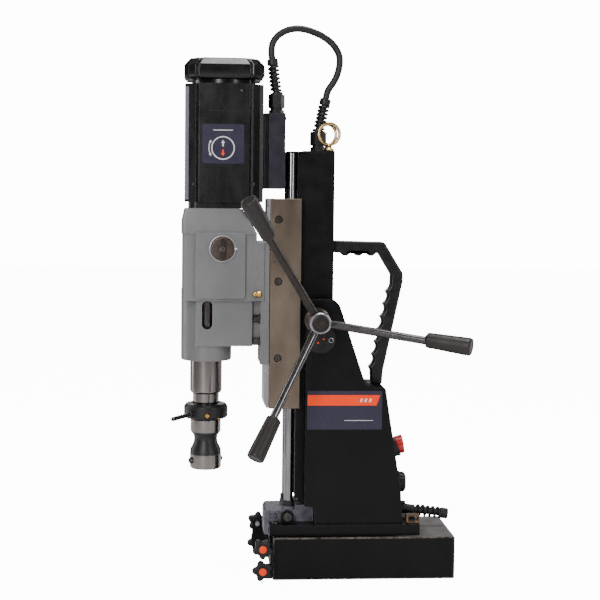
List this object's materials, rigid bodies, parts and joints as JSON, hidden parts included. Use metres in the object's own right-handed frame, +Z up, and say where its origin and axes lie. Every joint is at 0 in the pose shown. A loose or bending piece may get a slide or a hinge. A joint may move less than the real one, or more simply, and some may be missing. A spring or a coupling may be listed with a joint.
{
  "type": "magnetic drill press",
  "caption": "Tall magnet-base drill: a carriage with gearbox and motor slides on guide rods and is fed down by a capstan with levers.",
  "frame": {"origin": "centre of the magnet's underside, on the surface that it holds to", "axes": "+Z up along the guide rods; +X from the drill towards the control panel; -Y towards the capstan levers"},
  "size_m": [0.4056, 0.2872, 0.785],
  "materials": {
    "black_paint": "semi-gloss black paint",
    "blackened_steel": "satin black coating, worn bright on its edges",
    "grey_paint": "satin light grey paint",
    "casting_grey": "rough cast, violet grey",
    "burnished_plate": "burnished brown steel",
    "bright_steel": "ground steel",
    "chromed_rod": "hard chromed and polished",
    "dark_steel": "oiled dark steel",
    "yellow_zinc": "yellow zinc plate",
    "black_plastic": "matt black plastic",
    "grip_plastic": "matt dark brown grey plastic",
    "cable_rubber": "matt black cable sheath",
    "red_plastic": "glossy red plastic",
    "coil_copper": "varnished copper winding",
    "circuit_board": "green board",
    "bronze": "bearing bronze"
  },
  "bodies": {
    "stand": {"magnet_block": "blackened_steel", "magnet_coil_front": "coil_copper", "magnet_coil_rear": "coil_copper", "stand_housing": "black_paint", "control_panel": "black_paint", "control_board": "circuit_board", "column": "black_paint", "column_cap": "black_paint", "guide_rod_left": "chromed_rod", "guide_rod_right": "chromed_rod", "rod_collar_left": "black_plastic", "rod_collar_right": "black_plastic", "rod_base": "casting_grey", "carry_handle": "black_plastic", "eye_bolt_left": "yellow_zinc", "eye_bolt_right": "yellow_zinc", "column_gland": "black_plastic", "mains_gland": "black_plastic", "strap_lug": "bronze", "lock_dial": "black_plastic", "pinion_bush_left": "bronze", "pinion_bush_right": "bronze", "knob_bracket_left": "black_paint", "knob_bracket_right": "black_paint", "estop_collar": "black_plastic", "motor_cable": "cable_rubber"},
    "carriage": {"slide_block": "bright_steel", "slide_plate_left": "burnished_plate", "slide_plate_right": "burnished_plate", "feed_rack": "dark_steel", "gearbox_housing": "grey_paint", "spindle_bearing_lower": "bright_steel", "spindle_bearing_upper": "bright_steel", "motor_housing": "black_paint", "motor_cap": "black_paint", "motor_stator": "coil_copper", "terminal_box": "black_paint", "terminal_box_cover": "casting_grey", "motor_gland": "black_plastic"},
    "capstan": {"pinion_shaft": "dark_steel", "capstan_hub": "dark_steel", "lever_1": "dark_steel", "grip_1": "grip_plastic", "lever_2": "dark_steel", "grip_2": "grip_plastic", "lever_3": "dark_steel", "grip_3": "grip_plastic"},
    "spindle_set": {"spindle": "bright_steel", "arbor": "bright_steel"},
    "coolant_collar": {"coolant_ring": "black_plastic"},
    "rotor_set": {"motor_rotor": "dark_steel"},
    "layshaft_set": {"layshaft": "dark_steel"},
    "left_selector": {"gear_selector_left": "dark_steel"},
    "right_selector": {"gear_selector_right": "dark_steel"},
    "stop_button": {"estop_button": "red_plastic"},
    "speed_knob": {"rotary_knob": "black_plastic"},
    "upper_left_star_knob": {"star_knob_upper_left": "black_plastic"},
    "upper_right_star_knob": {"star_knob_upper_right": "black_plastic"},
    "lower_left_star_knob": {"star_knob_lower_left": "black_plastic"},
    "lower_right_star_knob": {"star_knob_lower_right": "black_plastic"}
  },
  "joints": [
    {"name": "feed_slide", "type": "slide", "parent": "stand", "child": "carriage", "axis": [0, 0, 1], "range_m": [-0.127, 0.062], "deforming": ["motor_cable"]},
    {"name": "capstan_turn", "type": "hinge", "parent": "stand", "child": "capstan", "pos_m": [-0.0705, 0, 0.369], "axis": [0, 1, 0], "range_deg": [-455, 222.5]},
    {"name": "spindle_spin", "type": "hinge", "parent": "carriage", "child": "spindle_set", "pos_m": [-0.225, 0, 0.3], "axis": [0, 0, 1], "continuous": true},
    {"name": "rotor_spin", "type": "hinge", "parent": "carriage", "child": "rotor_set", "pos_m": [-0.202, 0, 0.6], "axis": [0, 0, 1], "continuous": true},
    {"name": "layshaft_spin", "type": "hinge", "parent": "carriage", "child": "layshaft_set", "pos_m": [-0.20724, 0.02034, 0.48], "axis": [0, 0, 1], "continuous": true},
    {"name": "coolant_swivel", "type": "hinge", "parent": "carriage", "child": "coolant_collar", "pos_m": [-0.225, 0, 0.2344], "axis": [0, 0, 1], "range_deg": [-90, 90]},
    {"name": "selector_left_turn", "type": "hinge", "parent": "carriage", "child": "left_selector", "pos_m": [-0.2037, -0.056, 0.468], "axis": [0, -1, 0], "range_deg": [0, 180]},
    {"name": "selector_right_turn", "type": "hinge", "parent": "carriage", "child": "right_selector", "pos_m": [-0.2037, 0.056, 0.468], "axis": [0, 1, 0], "range_deg": [0, 180]},
    {"name": "stop_button_press", "type": "slide", "parent": "stand", "child": "stop_button", "axis": [-0.9872, 0, -0.1594], "range_m": [0, 0.004], "stiffness_N_per_m": 800},
    {"name": "speed_knob_turn", "type": "hinge", "parent": "stand", "child": "speed_knob", "pos_m": [0.0552, 0, 0.1275], "axis": [1, 0, 0], "range_deg": [-135, 135]},
    {"name": "upper_left_knob_turn", "type": "hinge", "parent": "stand", "child": "upper_left_star_knob", "pos_m": [-0.1455, -0.08, 0.0506], "axis": [0, -1, 0], "range_deg": [-360, 360]},
    {"name": "upper_right_knob_turn", "type": "hinge", "parent": "stand", "child": "upper_right_star_knob", "pos_m": [-0.1455, 0.08, 0.0506], "axis": [0, 1, 0], "range_deg": [-360, 360]},
    {"name": "lower_left_knob_turn", "type": "hinge", "parent": "stand", "child": "lower_left_star_knob", "pos_m": [-0.1455, -0.08, 0.0191], "axis": [0, -1, 0], "range_deg": [-360, 360]},
    {"name": "lower_right_knob_turn", "type": "hinge", "parent": "stand", "child": "lower_right_star_knob", "pos_m": [-0.1455, 0.08, 0.0191], "axis": [0, 1, 0], "range_deg": [-360, 360]}
  ],
  "couplings": [
    {"joint": "capstan_turn", "follows": "feed_slide", "rad_per_m": 62.5},
    {"joint": "rotor_spin", "follows": "spindle_spin", "ratio": 5},
    {"joint": "layshaft_spin", "follows": "spindle_spin", "ratio": -2}
  ]
}
